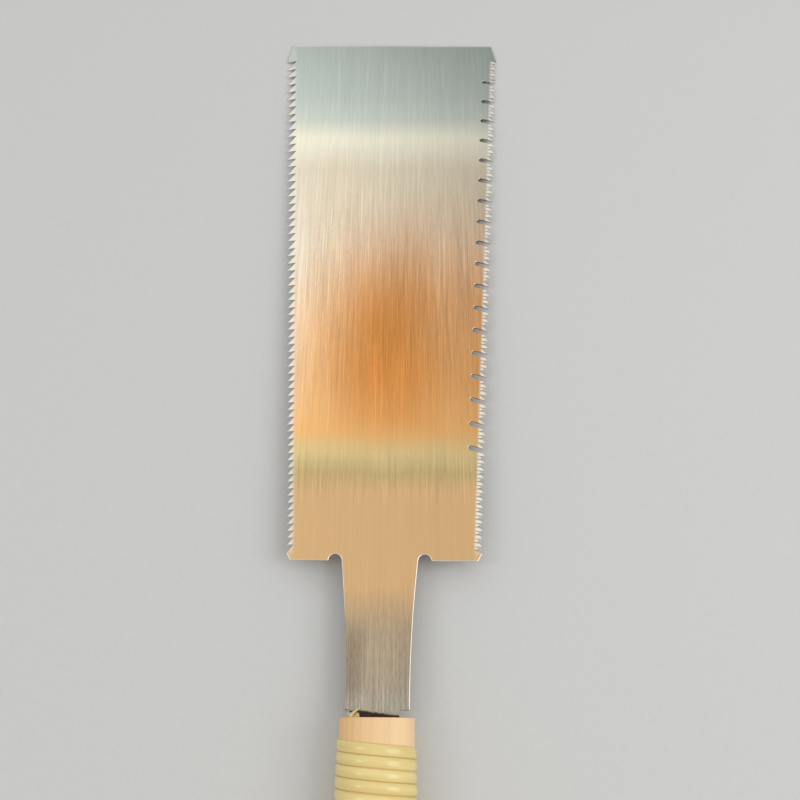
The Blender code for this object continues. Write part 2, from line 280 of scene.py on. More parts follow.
class NodeTree:
    """A node tree laid down by short calls. A value is a plain one or another node's output."""

    def node(self, kind, values=(), **settings):
        node = self.tree.nodes.new(kind)
        for name, setting in settings.items():
            setattr(node, name, setting)
        for socket, value in dict(values).items():
            self.put(node.inputs[socket], value)
        return node

    def put(self, socket, value):
        if isinstance(value, bpy.types.NodeSocket):
            self.tree.links.new(value, socket)
        else:
            socket.default_value = value

    def split(self, vector):
        return self.node("ShaderNodeSeparateXYZ", {0: vector}).outputs

    def join(self, x, y, z=0.0):
        return self.node("ShaderNodeCombineXYZ", {0: x, 1: y, 2: z}).outputs[0]

    def math(self, operation, a, b=0.0):
        return self.node("ShaderNodeMath", {0: a, 1: b}, operation=operation).outputs[0]

    def add(self, a, b):
        return self.math("ADD", a, b)

    def times(self, a, b):
        return self.math("MULTIPLY", a, b)


class Finish(NodeTree):
    """A material made with one Principled shader."""

    def __init__(self, name, **values):
        self.material = bpy.data.materials.new(name)
        self.material.use_nodes = True
        self.tree = self.material.node_tree
        self.shader = self.tree.nodes["Principled BSDF"]
        self.shade(**values)

    def shade(self, **values):
        for name, value in values.items():
            name = name.replace("_", " ").title().replace("Ior", "IOR")
            self.put(self.shader.inputs[name], value)

    def object_place(self):
        return self.node("ShaderNodeTexCoord").outputs["Object"]

    def saw_place(self):
        """Object coordinates turned and moved into the saw's frame."""
        turned = {"Vector": self.object_place(), "Location": LAY.translation, "Rotation": LAY.to_euler()}
        return self.node("ShaderNodeMapping", turned, vector_type="TEXTURE").outputs[0]

    def own(self, attribute):
        return self.node("ShaderNodeAttribute", attribute_name=attribute).outputs["Fac"]

    def span(self, value, low, high, to_low=0.0, to_high=1.0, kind="LINEAR"):
        """The value's way from low to high, held at the ends."""
        ends = {0: value, 1: low, 2: high, 3: to_low, 4: to_high}
        return self.node("ShaderNodeMapRange", ends, interpolation_type=kind, clamp=True).outputs[0]

    def fade(self, value, low, high, to_low=0.0, to_high=1.0):
        """The same way with a soft start and end."""
        return self.span(value, low, high, to_low, to_high, kind="SMOOTHSTEP")

    def band(self, value, start, full, full_end, end):
        """1 from full to full_end, fading to 0 at start and end."""
        return self.times(self.fade(value, start, full), self.fade(value, end, full_end))

    def grain(self, vector, stretch, seed=0.0, detail=3.0, roughness=0.55):
        """Noise whose lumps are 1/stretch long in each direction."""
        moved = {"Vector": vector, "Scale": stretch, "Location": (seed * 3.7, seed * 5.3, seed * 2.9)}
        place = self.node("ShaderNodeMapping", moved).outputs[0]
        values = {"Vector": place, "Scale": 1.0, "Detail": detail, "Roughness": roughness}
        return self.node("ShaderNodeTexNoise", values).outputs[0]

    def sway(self, value, amount):
        """Noise made to swing about 0 instead of a half, times an amount."""
        return self.times(self.add(value, -0.5), amount)

    def mix(self, amount, a, b):
        values = {0: amount, 6: a, 7: b}
        return self.node("ShaderNodeMix", values, data_type="RGBA").outputs[2]

    def ramp(self, value, stops):
        node = self.node("ShaderNodeValToRGB", {0: value})
        elements = node.color_ramp.elements
        while len(elements) < len(stops):
            elements.new(1.0)
        for element, (place, colour) in zip(elements, stops):
            element.position = place
            element.color = colour
        return node.outputs[0]

    def scale_colour(self, colour, amount):
        """The colour made lighter or darker by a number."""
        values = {0: colour, 1: self.join(amount, amount, amount)}
        return self.node("ShaderNodeVectorMath", values, operation="MULTIPLY").outputs[0]

    def bump(self, height, strength, distance, under=None):
        values = {"Height": height, "Strength": strength, "Distance": distance}
        if under is not None:
            values["Normal"] = under
        return self.node("ShaderNodeBump", values).outputs[0]

    def in_from(self, edge, x, y):
        """How far a place lies in from a toothed edge's points."""
        across = self.times(self.add(x, -edge.tip.x), edge.inward.x)
        along = self.times(self.add(y, -edge.tip.y), edge.inward.y)
        return self.add(across, along)


class ShapeTree(NodeTree):
    """A geometry node tree with named inputs and one output."""

    def __init__(self, name, inputs, output):
        self.tree = bpy.data.node_groups.new(name, "GeometryNodeTree")
        sockets = self.tree.interface
        for socket, kind in inputs.items():
            sockets.new_socket(socket, in_out="INPUT", socket_type="NodeSocket" + kind)
        sockets.new_socket(output, in_out="OUTPUT", socket_type="NodeSocketGeometry")
        self.given = self.tree.nodes.new("NodeGroupInput").outputs

    def shape(self, kind, values=(), **settings):
        """The first output of a geometry node."""
        return self.node("GeometryNode" + kind, values, **settings).outputs[0]

    def named(self, name, kind):
        return self.shape("InputNamedAttribute", {"Name": name}, data_type=kind)

    def stored(self, geometry, name, value, **settings):
        values = {"Geometry": geometry, "Name": name, "Value": value}
        return self.shape("StoreNamedAttribute", values, **settings)

    def ending_in(self, geometry):
        self.node("NodeGroupOutput", {0: geometry})
        return self.tree


def tint(red, green, blue):
    """A colour as an eye sees it on a screen, 0 to 255, turned to the shader's linear light."""
    linear = []
    for part in (red, green, blue):
        part /= 255
        linear.append(part / 12.92 if part <= 0.04045 else ((part + 0.055) / 1.055) ** 2.4)
    return (*linear, 1.0)


MOUTH_GREY = tint(166, 158, 141)
NECK_GREY = tint(164, 150, 130)
NECK_TAN = tint(172, 153, 127)
HEEL_TAN = tint(211, 173, 125)
OLIVE = tint(192, 169, 119)
STRAW = tint(213, 190, 137)
APRICOT = tint(231, 180, 117)
PEACH = tint(230, 193, 150)
CREAM = tint(225, 209, 184)
OATMEAL = tint(218, 206, 182)
IVORY = tint(234, 230, 209)
PALE_GREY = tint(200, 206, 195)
SILVER = tint(187, 196, 188)
BLUE_GREY = tint(175, 184, 177)
# How the steel's colour changes along the blade, from the mouth to the tip; its warm and cool zones are a
# painted reflection of the room
STEEL_AND_REFLECTION_ZONES = (
    (0.003, MOUTH_GREY),
    (0.012, NECK_GREY),
    (0.031, NECK_TAN),
    (0.047, HEEL_TAN),
    (0.0845, HEEL_TAN),
    (0.0925, OLIVE),
    (0.1017, STRAW),
    (0.1118, APRICOT),
    (0.160, PEACH),
    (0.203, CREAM),
    (0.247, OATMEAL),
    (0.263, IVORY),
    (0.267, IVORY),
    (0.278, PALE_GREY),
    (0.292, SILVER),
    (0.325, BLUE_GREY),
)
# How strongly the scrape lines show along the blade: most on the neck and in the bronze middle
STREAK_STRENGTHS = (
    (0.004, 0.90),
    (0.018, 0.58),
    (0.057, 0.13),
    (0.078, 0.09),
    (0.088, 0.50),
    (0.096, 0.44),
    (0.107, 0.20),
    (0.135, 0.50),
    (0.155, 0.64),
    (0.198, 0.66),
    (0.258, 0.23),
    (0.305, 0.26),
)
BRONZE_REFLECTION = tint(203, 136, 70)
ORANGE_REFLECTION = tint(224, 148, 74)
PALE_REFLECTION = tint(217, 213, 206)
SCALE = tint(50, 33, 22)
RUST = tint(112, 68, 38)
FILED = tint(244, 241, 232)
FILE_MARK = tint(226, 222, 210)
FILE_BRIGHT = tint(250, 248, 242)
DARK_LEFT_RIM = tint(172, 160, 138)
DARK_RIGHT_RIM = tint(205, 190, 168)
REDDISH_WOOD = tint(238, 193, 136)
PALE_WOOD = tint(249, 215, 166)
LATE_WOOD = tint(216, 165, 104)
END_GRAIN = tint(196, 146, 90)
HAND_STAIN = tint(205, 156, 104)
RATTAN_DEEP = tint(226, 199, 124)
RATTAN_PALE = tint(241, 220, 150)
RATTAN_SPOT = tint(190, 150, 80)
RATTAN_RIM_AND_GROOVE_SHADE = tint(182, 160, 96)
SPLIT_DEEP = tint(208, 176, 106)
SPLIT_PALE = tint(250, 238, 192)
PAPER_DEEP = tint(204, 204, 202)
PAPER_PALE = tint(210, 210, 208)


def bronze_reflection_reach(f, x, y, broad):
    """How far the plate has the bronze of its middle, a painted reflection of warm light, which ends soon
    towards the heel.
    """
    ragged = f.add(x, f.sway(broad, 0.010))
    from_left = f.fade(ragged, -0.046, -0.002)
    across = f.times(from_left, f.fade(ragged, 0.004, 0.034, 0.97, 0.64))
    # Towards the tip it reaches further on the right than on the left
    slanted = f.add(y, f.times(x, -0.2))
    to_tip = f.fade(f.add(slanted, f.sway(broad, 0.016)), 0.241, 0.160)
    to_heel = f.fade(y, 0.095, 0.142)
    return f.times(across, f.times(to_tip, to_heel))


def steel_tint_and_reflection(f, x, y, line, broad, cloud):
    """Slow warm and cool tints along the blade, painted reflections of the room, with a bronze middle."""
    # The borders between the zones wander a little and follow the scrape lines
    wandering = f.add(y, f.add(f.sway(cloud, 0.005), f.sway(line, 0.003)))
    zone = f.span(wandering, 0.0, TIP_Y)
    colour = f.ramp(zone, [(start / TIP_Y, shade) for start, shade in STEEL_AND_REFLECTION_ZONES])
    # The bronze middle is a painted reflection of warm light
    colour = f.mix(bronze_reflection_reach(f, x, wandering, broad), colour, BRONZE_REFLECTION)
    # Below the bronze lies a patch of a livelier orange, also a painted reflection
    patch = f.fade(f.math("ABSOLUTE", f.add(x, -0.004)), 0.028, 0.004)
    patch = f.times(patch, f.band(y, 0.108, 0.122, 0.132, 0.160))
    colour = f.mix(f.times(patch, 0.45), colour, ORANGE_REFLECTION)
    # Beside the bronze the left edge is paler and cooler, a painted reflection
    pale_reflection_reach = f.fade(x, -0.028, -0.046, 0.0, 0.27)
    pale_reflection_reach = f.times(pale_reflection_reach, f.band(y, 0.104, 0.138, 0.236, 0.264))
    return f.mix(pale_reflection_reach, colour, PALE_REFLECTION)


def steel_painted_light(f, x, y):
    """How light the steel is, as painted light: the plate is lighter on the left than on the right, a
    painted reflection.
    """
    side = f.span(x, -0.052, 0.055, 1.0, -1.0)
    upper_half = f.band(y, 0.130, 0.170, 0.235, 0.262)
    contrast = f.add(f.fade(y, 0.085, 0.118, 0.09, 0.27), f.times(upper_half, 0.045))
    # Beside the bronze middle the right is a little lighter again, also a painted reflection
    warm_right = f.times(f.fade(x, 0.008, 0.030), f.band(y, 0.100, 0.125, 0.188, 0.228))
    plate = f.add(f.add(1.0, f.times(side, contrast)), f.times(warm_right, 0.065))
    # The middle of the neck is lighter than its sides, and its left side darker than the right as painted
    # shade
    neck_left_shade = f.times(f.fade(x, -0.001, -0.009), f.band(y, 0.004, 0.011, 0.024, 0.038))
    neck_middle = f.fade(f.math("ABSOLUTE", x), 0.009, 0.002)
    neck_middle = f.times(neck_middle, f.fade(y, 0.040, 0.022))
    neck = f.add(f.span(neck_left_shade, 0.0, 1.0, 1.0, 0.82), f.times(neck_middle, 0.11))
    return f.times(plate, neck)


def scrape_lines(f, place, y, hair, line, broad):
    """How much lighter or darker the scrape lines make the steel."""
    stops = [(start / TIP_Y, (amount, amount, amount, 1.0)) for start, amount in STREAK_STRENGTHS]
    strength = f.ramp(f.span(y, 0.0, TIP_Y), stops)
    lines = f.times(f.add(f.add(hair, line), -1.0), strength)
    lines = f.add(lines, f.sway(broad, 0.09))
    # A few long lines catch the light
    glint = f.span(f.grain(place, (1500, 18, 1500), seed=17, detail=1), 0.61, 0.72)
    lines = f.add(lines, f.times(glint, f.times(strength, 0.45)))
    # The neck, and less so the plate, is also marked by short hairlines
    dash = f.grain(place, (2300, 330, 2300), seed=18, detail=2)
    marked = f.add(f.fade(y, 0.046, 0.024, 0.0, 0.32), f.times(strength, 0.4))
    return f.add(lines, f.sway(dash, marked))


def filed_teeth(f, x, y):
    """How far a place lies in the toothed edges, where the file has left bare bright metal."""
    rip_depth = f.span(y, HEEL_Y, TIP_Y, RIP_DEPTH_HEEL, RIP_DEPTH_TIP)
    past_rip = f.math("SUBTRACT", f.in_from(ToothedEdge(-1), x, y), rip_depth)
    past_crosscut = f.add(f.in_from(ToothedEdge(1), x, y), -CROSSCUT_DEPTH)
    first_rip = TIP_Y - RIP_START
    tip_corner = TIP_Y - TIP_CORNER_ALONG
    heel_corner = HEEL_Y + HEEL_CORNER_ALONG
    below_rip_start = f.span(y, first_rip - 0.0028, first_rip - 0.0040, 0.35, 1.0)
    below_corner = f.span(y, tip_corner + 0.0004, tip_corner - 0.0008)
    from_heel = f.span(y, heel_corner - 0.0004, heel_corner + 0.0036, 0.1, 1.0)
    rip = f.times(f.span(past_rip, 0.0004, -0.0016), below_rip_start)
    crosscut = f.times(f.span(past_crosscut, 0.0001, -0.0010), below_corner)
    return f.times(f.math("MAXIMUM", rip, crosscut), from_heel)


def make_scraped_steel():
    """Hand-scraped steel with fine lines along the blade, the room's reflection painted into its colour,
    and the rusty tang.
    """
    f = Finish("scraped_steel", roughness=0.34, metallic=1.0)
    place = f.saw_place()
    x, y, _ = f.split(place)
    hair = f.grain(place, (3000, 60, 3000), seed=1, detail=2, roughness=0.6)
    line = f.grain(place, (1250, 22, 1250), seed=2, detail=3, roughness=0.6)
    broad = f.grain(place, (190, 11, 190), seed=3, detail=2)
    cloud = f.grain(place, (38, 16, 38), seed=4, detail=2)
    # The tints along the blade are a painted reflection of the room
    colour = steel_tint_and_reflection(f, x, y, line, broad, cloud)
    lines = scrape_lines(f, place, y, hair, line, broad)
    # The plate's lighter left side and the neck's darker left side are painted reflection and shade
    colour = f.scale_colour(colour, f.times(steel_painted_light(f, x, y), f.add(1.0, lines)))
    # The teeth are filed bright, and the tip's edge is rubbed bright here and there
    filed = f.times(filed_teeth(f, x, y), 0.75)
    rubbed = f.times(f.span(y, TIP_Y - 0.0013, TIP_Y - 0.0005), f.span(cloud, 0.3, 0.6, 0.2, 0.5))
    colour = f.mix(f.math("MAXIMUM", filed, rubbed), colour, FILED)
    # Past the scraped part, along a slanting border, the tang keeps its forge scale and has rusted
    border = f.add(f.span(x, -0.0055, 0.0068, 0.0019, 0.0004), f.sway(line, 0.0010))
    rust = f.span(f.math("SUBTRACT", y, border), 0.0003, -0.0003)
    pitted = f.grain(place, (520, 260, 520), seed=16, detail=4, roughness=0.65)
    patch = f.times(f.span(pitted, 0.5, 0.68), f.span(y, 0.001, -0.003, 0.35, 0.9))
    colour = f.mix(rust, colour, f.mix(patch, SCALE, RUST))
    rough = f.add(f.span(hair, 0.3, 0.7, 0.28, 0.42), f.times(rust, 0.4))
    f.shade(base_color=colour, metallic=f.span(rust, 0.0, 1.0, 1.0, 0.15), roughness=rough)
    pits = f.bump(f.times(pitted, rust), 0.6, 0.0002)
    grooves = f.bump(line, 0.25, 0.00004, under=pits)
    f.shade(normal=f.bump(hair, 0.35, 0.00002, under=grooves))
    return f.material


def make_filed_steel():
    """The bright faces that the file and the stone leave: tooth flanks and eased edges."""
    f = Finish("filed_steel", roughness=0.3, metallic=1.0)
    place = f.saw_place()
    marks = f.grain(place, (900, 900, 6000), seed=5, detail=3)
    colour = f.mix(f.span(marks, 0.3, 0.7), FILE_MARK, FILE_BRIGHT)
    # The neck's left edge is darker, and the right one half as much
    x, y, _ = f.split(place)
    for side, amount, shade in ((-1, 1.0, DARK_LEFT_RIM), (1, 0.5, DARK_RIGHT_RIM)):
        out = f.times(x, side)
        rim = f.times(f.span(out, 0.008, 0.010), f.span(out, 0.0176, 0.0170))
        on_neck = f.fade(y, 0.050, 0.030, 0.0, amount)
        colour = f.mix(f.times(rim, on_neck), colour, shade)
    f.shade(base_color=colour, roughness=f.span(marks, 0.3, 0.7, 0.34, 0.5))
    f.shade(normal=f.bump(marks, 0.3, 0.00002))
    return f.material


def make_handle_wood():
    """Bare planed softwood: growth rings round a pith beside the handle, fine pores and hand wear."""
    f = Finish("handle_wood", roughness=0.55, specular_ior_level=0.45)
    place = f.saw_place()
    x, y, z = f.split(place)
    bend = f.grain(place, (18, 5, 18), seed=6, detail=2)
    pith_x = f.add(f.add(x, PITH_LEFT), f.sway(bend, 0.006))
    pith_z = f.add(z, PITH_BELOW)
    radius = f.math("SQRT", f.add(f.times(pith_x, pith_x), f.times(pith_z, pith_z)))
    ring = f.math("FRACT", f.times(radius, 1 / RING_WIDTH))
    late = f.times(f.fade(ring, 0.45, 0.92), f.span(ring, 1.0, 0.93))
    fibre = f.grain(place, (1700, 22, 1700), seed=7, detail=4, roughness=0.65)
    fleck = f.grain(place, (420, 9, 420), seed=8, detail=3)
    # The wood is a little redder on the left than on the right
    pale = f.mix(f.span(x, -0.013, 0.013), REDDISH_WOOD, PALE_WOOD)
    colour = f.mix(f.times(late, 0.16), pale, LATE_WOOD)
    colour = f.scale_colour(colour, f.add(0.885, f.add(f.times(fibre, 0.16), f.times(fleck, 0.06))))
    # Sawn end grain at the butt and the mouth is darker, with open pores
    at_butt = f.fade(y, -HANDLE_LENGTH + 0.0012, -HANDLE_LENGTH + 0.0003)
    end = f.math("MAXIMUM", at_butt, f.span(y, MOUTH_Y - 0.00016, MOUTH_Y - 0.00004))
    pore = f.span(f.grain(place, (2600, 300, 2600), seed=15, detail=2), 0.42, 0.62)
    colour = f.mix(f.times(end, f.span(pore, 0.0, 1.0, 0.65, 0.3)), colour, END_GRAIN)
    # Handling has darkened the grip a little
    grip = f.fade(y, -0.10, -0.20)
    stain = f.times(grip, f.span(f.grain(place, (40, 14, 40), seed=9), 0.35, 0.75))
    colour = f.mix(f.times(stain, 0.35), colour, HAND_STAIN)
    f.shade(base_color=colour, roughness=f.span(fibre, 0.25, 0.75, 0.42, 0.62))
    grooves = f.bump(fibre, 0.5, 0.00006)
    f.shade(normal=f.bump(late, 0.2, 0.00005, under=grooves))
    return f.material


def make_rattan_skin():
    """Split rattan: a glossy yellow skin with fibres along the strip, and edges darkened as raw edges and
    as painted shade in the grooves between turns.
    """
    f = Finish("rattan_skin", roughness=0.3, coat_weight=0.35, coat_roughness=0.15)
    along = f.own("strip_along")
    across = f.own("strip_across")
    strip = f.join(across, along)
    fibre = f.grain(strip, (9, 55, 1), seed=10, detail=4, roughness=0.6)
    patch = f.grain(strip, (0.7, 22, 1), seed=11, detail=3)
    spot = f.grain(strip, (2.2, 160, 1), seed=12, detail=2)
    colour = f.mix(f.span(patch, 0.3, 0.7), RATTAN_DEEP, RATTAN_PALE)
    colour = f.scale_colour(colour, f.span(fibre, 0.2, 0.8, 0.96, 1.03))
    colour = f.mix(f.span(spot, 0.66, 0.8, 0.0, 0.3), colour, RATTAN_SPOT)
    # The strip's edges are darker: raw edges, and painted shade where the turns meet in grooves
    rim = f.fade(f.math("ABSOLUTE", across), 0.80, 1.0)
    colour = f.mix(f.times(rim, 0.45), colour, RATTAN_RIM_AND_GROOVE_SHADE)
    f.shade(base_color=colour, roughness=f.span(fibre, 0.2, 0.8, 0.22, 0.36))
    f.shade(normal=f.bump(fibre, 0.08, 0.00005))
    return f.material


def make_split_wood():
    """The raw yellow wood of the shim, torn along its fibres."""
    f = Finish("split_wood", roughness=0.7)
    place = f.saw_place()
    fibre = f.grain(place, (3600, 160, 3600), seed=13, detail=3)
    colour = f.mix(f.span(fibre, 0.3, 0.7), SPLIT_DEEP, SPLIT_PALE)
    f.shade(base_color=colour, normal=f.bump(fibre, 0.6, 0.0001))
    return f.material


def make_floor_paper():
    f = Finish("floor_paper", roughness=0.9, specular_ior_level=0.1)
    tooth = f.grain(f.object_place(), (700, 700, 700), seed=14)
    f.shade(base_color=f.mix(tooth, PAPER_DEEP, PAPER_PALE))
    return f.material


def graded(start, end, first, last):
    """Places from start to end whose steps shrink from about first to about last."""
    mean = (first - last) / math.log(first / last)
    count = round(abs(end - start) / mean)
    shrink = (last / first) ** (1 / (count - 1))
    return [start + (end - start) * (1 - shrink**i) / (1 - shrink**count) for i in range(count + 1)]


# What stands on the outline between one corner of the plate and the next
TOOTH = "tooth"
BARE = "bare wall"
EASED = "eased wall"
SLOT = "slot wall"


class ToothedEdge:
    """One toothed edge of the plate. A place is a way down it from the tip and a depth in from it."""

    def __init__(self, side):
        self.tip = Vector((PLATE_OFFSET + side * TIP_WIDTH / 2, TIP_Y))
        heel = Vector((PLATE_OFFSET + side * HEEL_WIDTH / 2, HEEL_Y))
        self.length = (heel - self.tip).length
        self.down = (heel - self.tip).normalized()
        self.inward = Vector((side * self.down.y, -side * self.down.x))
        # A tooth's own axes: along the edge, into the plate, and the way that makes them right-handed
        axes = (self.down.to_3d(), self.inward.to_3d(), Vector((0.0, 0.0, -side)))
        self.turn = Matrix(axes).transposed().to_euler()

    def at(self, along, depth):
        return self.tip + self.down * along + self.inward * depth

    def heel_corner(self):
        corner = (self.length - HEEL_CORNER_ALONG, 0.0), (self.length, HEEL_CORNER_ACROSS)
        return [(self.at(along, depth), EASED) for along, depth in corner]


def rip_side():
    """The rip edge's outline without its teeth, and the teeth as (place, size, if of the first kind)."""
    edge = ToothedEdge(-1)
    points = graded(RIP_START, edge.length - RIP_END, RIP_PITCH_TIP, RIP_PITCH_HEEL)
    corner = edge.at(0.0, TIP_CORNER_ACROSS) + Vector((0.0, TIP_LEAN))
    outline = [(corner, EASED), (edge.at(points[0], 0.0), BARE)]
    teeth = []
    depth_ratio = (RIP_DEPTH_HEEL / RIP_DEPTH_TIP) ** (1 / (len(points) - 2))
    for i, (point, following) in enumerate(zip(points, points[1:])):
        pitch = following - point
        depth = RIP_DEPTH_TIP * depth_ratio**i
        outline.append((edge.at(point - RIP_HOOK_PER_PITCH * pitch, depth), TOOTH))
        if i:
            teeth.append((edge.at(point, 0.0), (pitch, depth, 1.0), i % 2 == 0))
    outline[-1] = (outline[-1][0], BARE)
    outline += edge.heel_corner()
    return edge, outline, teeth


def crosscut_row(edge, start, end, count, done):
    """A row of crosscut teeth after so many others: the valleys in front of them, and the teeth."""
    pitch = (end - start) / count
    valleys = []
    teeth = []
    for i in range(count):
        along = start + i * pitch
        valleys.append((edge.at(along, CROSSCUT_DEPTH), TOOTH))
        teeth.append((edge.at(along, 0.0), (pitch, 1.0, 1.0), (done + i) % 2 == 0))
    return valleys, teeth


def raker_slot(edge, centre):
    """The notch in front of a raker, the raker's point, and the round-ended slot behind it."""
    front = centre - SLOT_HALF
    back = centre + SLOT_HALF
    slot = [
        (edge.at(front - RAKER_LENGTH, CROSSCUT_DEPTH), BARE),
        (edge.at(front - RAKER_DROP * SLOT_LEAN, RAKER_DROP), BARE),
        (edge.at(front - SLOT_MOUTH * SLOT_LEAN, SLOT_MOUTH), SLOT),
    ]
    end_depth = SLOT_DEPTH - SLOT_WIDTH / 2
    end_along = centre - end_depth * SLOT_LEAN
    for turn in half_turn(SLOT_END_STEPS):
        along = end_along - SLOT_WIDTH / 2 * math.cos(turn + SLOT_SLANT)
        depth = end_depth + SLOT_WIDTH / 2 * math.sin(turn + SLOT_SLANT)
        slot.append((edge.at(along, depth), SLOT))
    slot.append((edge.at(back - SLOT_MOUTH * SLOT_LEAN, SLOT_MOUTH), BARE))
    return slot


def crosscut_side():
    """The crosscut edge's outline without its teeth, and the teeth as for the rip edge."""
    edge = ToothedEdge(1)
    last_slot = edge.length - LAST_SLOT_FROM_HEEL
    slots = graded(FIRST_SLOT_FROM_TIP, last_slot, SLOT_STEP_TIP, SLOT_STEP_HEEL)
    corner = edge.at(0.0, TIP_CORNER_ACROSS) - Vector((0.0, TIP_LEAN))
    outline = [(corner, EASED), (edge.at(TIP_CORNER_ALONG, 0.0), BARE)]
    teeth = []
    start = TIP_CORNER_ALONG
    for i, centre in enumerate(slots):
        end = centre - SLOT_HALF - RAKER_LENGTH
        count = GROUP_TEETH if i else round((end - start) / CROSSCUT_PITCH_TIP)
        # Each raker counts as a tooth in the turns of the two kinds
        valleys, row = crosscut_row(edge, start, end, count, len(teeth) + i)
        outline += valleys + raker_slot(edge, centre)
        teeth += row
        start = centre + SLOT_HALF - CROSSCUT_DEPTH * SLOT_LEAN
    end = edge.length - HEEL_CORNER_ALONG
    count = round((end - start) / CROSSCUT_PITCH_HEEL)
    valleys, row = crosscut_row(edge, start, end, count, len(teeth) + len(slots))
    # The last tooth runs into the corner of the heel
    point = edge.at(end - LAST_TOOTH_LAND * (end - start) / count, 0.0)
    outline += valleys[:-1] + [(valleys[-1][0], BARE), (point, BARE)] + edge.heel_corner()
    return edge, outline, teeth + row[:-1]


def neck_side(side):
    """One side of the neck, from the relief notch at the heel down to the shoulder and the tang."""
    top = NECK_TOP_WIDTH / 2
    outline = []
    for turn in half_turn(NOTCH_STEPS):
        x = top + RELIEF_RADIUS * (1 + math.cos(turn))
        outline.append((Vector((side * x, HEEL_Y + RELIEF_RADIUS * math.sin(turn))), EASED))
    for i in range(1, NECK_STEPS + 1):
        up = 1 - i / NECK_STEPS
        half_width = lerp(NECK_WIDTH / 2, top, up**2)
        outline.append((Vector((side * half_width, SHOULDER_STAND_OFF + up * NECK_LENGTH)), EASED))
    outline.append((Vector((TANG_OFFSET + side * TANG_WIDTH / 2, SHOULDER_STAND_OFF)), BARE))
    outline.append((Vector((TANG_OFFSET + side * TANG_END_WIDTH / 2, -TANG_LENGTH)), BARE))
    return outline


def tip_nicks(right, left):
    """The tip's edge from right to left, with a few small nicks from use."""
    outline = []
    for x, width, depth in NICKS:
        for shift, inward, kind in ((0.5, 0.0, BARE), (0.1, 1.0, BARE), (-0.5, 0.0, EASED)):
            place = x + shift * width
            t = (place - right.x) / (left.x - right.x)
            outline.append((Vector((place, lerp(right.y, left.y, t) - inward * depth)), kind))
    return outline


def blade_half_thickness(y):
    """An even plate, a neck that swells softly from it, and a tapering tang."""
    if y >= SHOULDER_STAND_OFF:
        swell = ease((HEEL_Y - y) / (HEEL_Y - NECK_FULL_THICKNESS_AT))
        return lerp(PLATE_THICKNESS, NECK_THICKNESS, swell) / 2
    return tang_half(y, NECK_THICKNESS, TANG_END_THICKNESS)


def tang_half(y, at_shoulder, at_end):
    t = (SHOULDER_STAND_OFF - y) / (SHOULDER_STAND_OFF + TANG_LENGTH)
    return lerp(at_shoulder, at_end, t) / 2


def backwards(outline):
    """The same outline walked the other way, each wall still between the same two corners."""
    places = [place for place, _ in outline]
    kinds = [kind for _, kind in outline]
    return list(zip(places[::-1], kinds[-2::-1] + kinds[-1:]))


def plate_mesh(left, right):
    """Plate, neck and tang as one flat solid, left open where the teeth join it."""
    tip = [(right[0][0], EASED)] + tip_nicks(right[0][0], left[0][0])
    outline = left + backwards(right)[:-1] + tip
    bm = bmesh.new()
    upper = [bm.verts.new((place.x, place.y, HALF_PLATE)) for place, _ in outline]
    under = [bm.verts.new((place.x, place.y, -HALF_PLATE)) for place, _ in outline]
    bm.faces.new(upper)
    bm.faces.new(under[::-1])
    rims = {EASED: [], SLOT: []}
    count = len(outline)
    for i, (_, kind) in enumerate(outline):
        j = (i + 1) % count
        if kind == TOOTH:
            continue
        bm.faces.new((upper[i], under[i], under[j], upper[j]))
        if kind in rims:
            rims[kind] += [bm.edges.get((upper[i], upper[j])), bm.edges.get((under[i], under[j]))]
    for kind, width in ((EASED, EDGE_EASE), (SLOT, SLOT_EASE)):
        # Where walls run on almost straight, the bevel finds its way in by the faces' normals
        bm.normal_update()
        bmesh.ops.bevel(bm, geom=rims[kind], offset=width, segments=2, profile=0.5, affect="EDGES",
                        material=1)
    last = SWELL_CUTS - 1
    swell_cuts = [lerp(HEEL_Y, NECK_FULL_THICKNESS_AT, i / last) for i in range(SWELL_CUTS)]
    for y in (*swell_cuts, *FURTHER_CUTS):
        geom = bm.verts[:] + bm.edges[:] + bm.faces[:]
        bmesh.ops.bisect_plane(bm, geom=geom, dist=1e-7, plane_co=(0, y, 0), plane_no=(0, 1, 0))
    for vert in bm.verts:
        grow = blade_half_thickness(vert.co.y) - HALF_PLATE
        vert.co.z += math.copysign(grow, vert.co.z)
    bmesh.ops.triangulate(bm, faces=[face for face in bm.faces if len(face.verts) > 4])
    return bm


def tooth_mesh(name, corners, faces, points, filed):
    """One tooth, open at its root, with its point marked so that a row can be made uneven."""
    mesh = bpy.data.meshes.new(name)
    mesh.from_pydata(corners, [], faces)
    mark(mesh, "tooth_point", "FLOAT", [1.0 if i in points else 0.0 for i in range(len(corners))])
    mark(mesh, "filed", "BOOLEAN", filed, "FACE")
    return mesh


def rip_tooth(name, shrink, bend):
    """A rip tooth of pitch 1 and depth 1, bent by the set, in a row that shrinks from tooth to tooth."""
    root = Vector((-RIP_HOOK_PER_PITCH, 1.0))
    before = Vector(((root.x - 1.0) / shrink.x, 1.0 / shrink.y))
    corners = []
    for side in (1, -1):
        corners += [
            (before.x, before.y, side * HALF_PLATE),
            (root.x, root.y, side * HALF_PLATE),
            (RIP_BEVEL_ALONG, RIP_BEVEL_DEPTH, side * HALF_PLATE + bend * RIP_BEVEL_SET),
            (0.0, 0.0, side * HALF_PLATE * RIP_POINT_THICKNESS + bend),
        ]
    a, c, q, p, a2, c2, q2, p2 = range(8)
    faces = [(a, q, c), (c2, q2, a2), (a, p, q), (q, p, c), (q2, p2, a2), (c2, p2, q2),
             (a, a2, p2, p), (p, p2, c2, c)]
    return tooth_mesh(name, corners, faces, (p, p2, q, q2), [False] * 2 + [True] * 6)


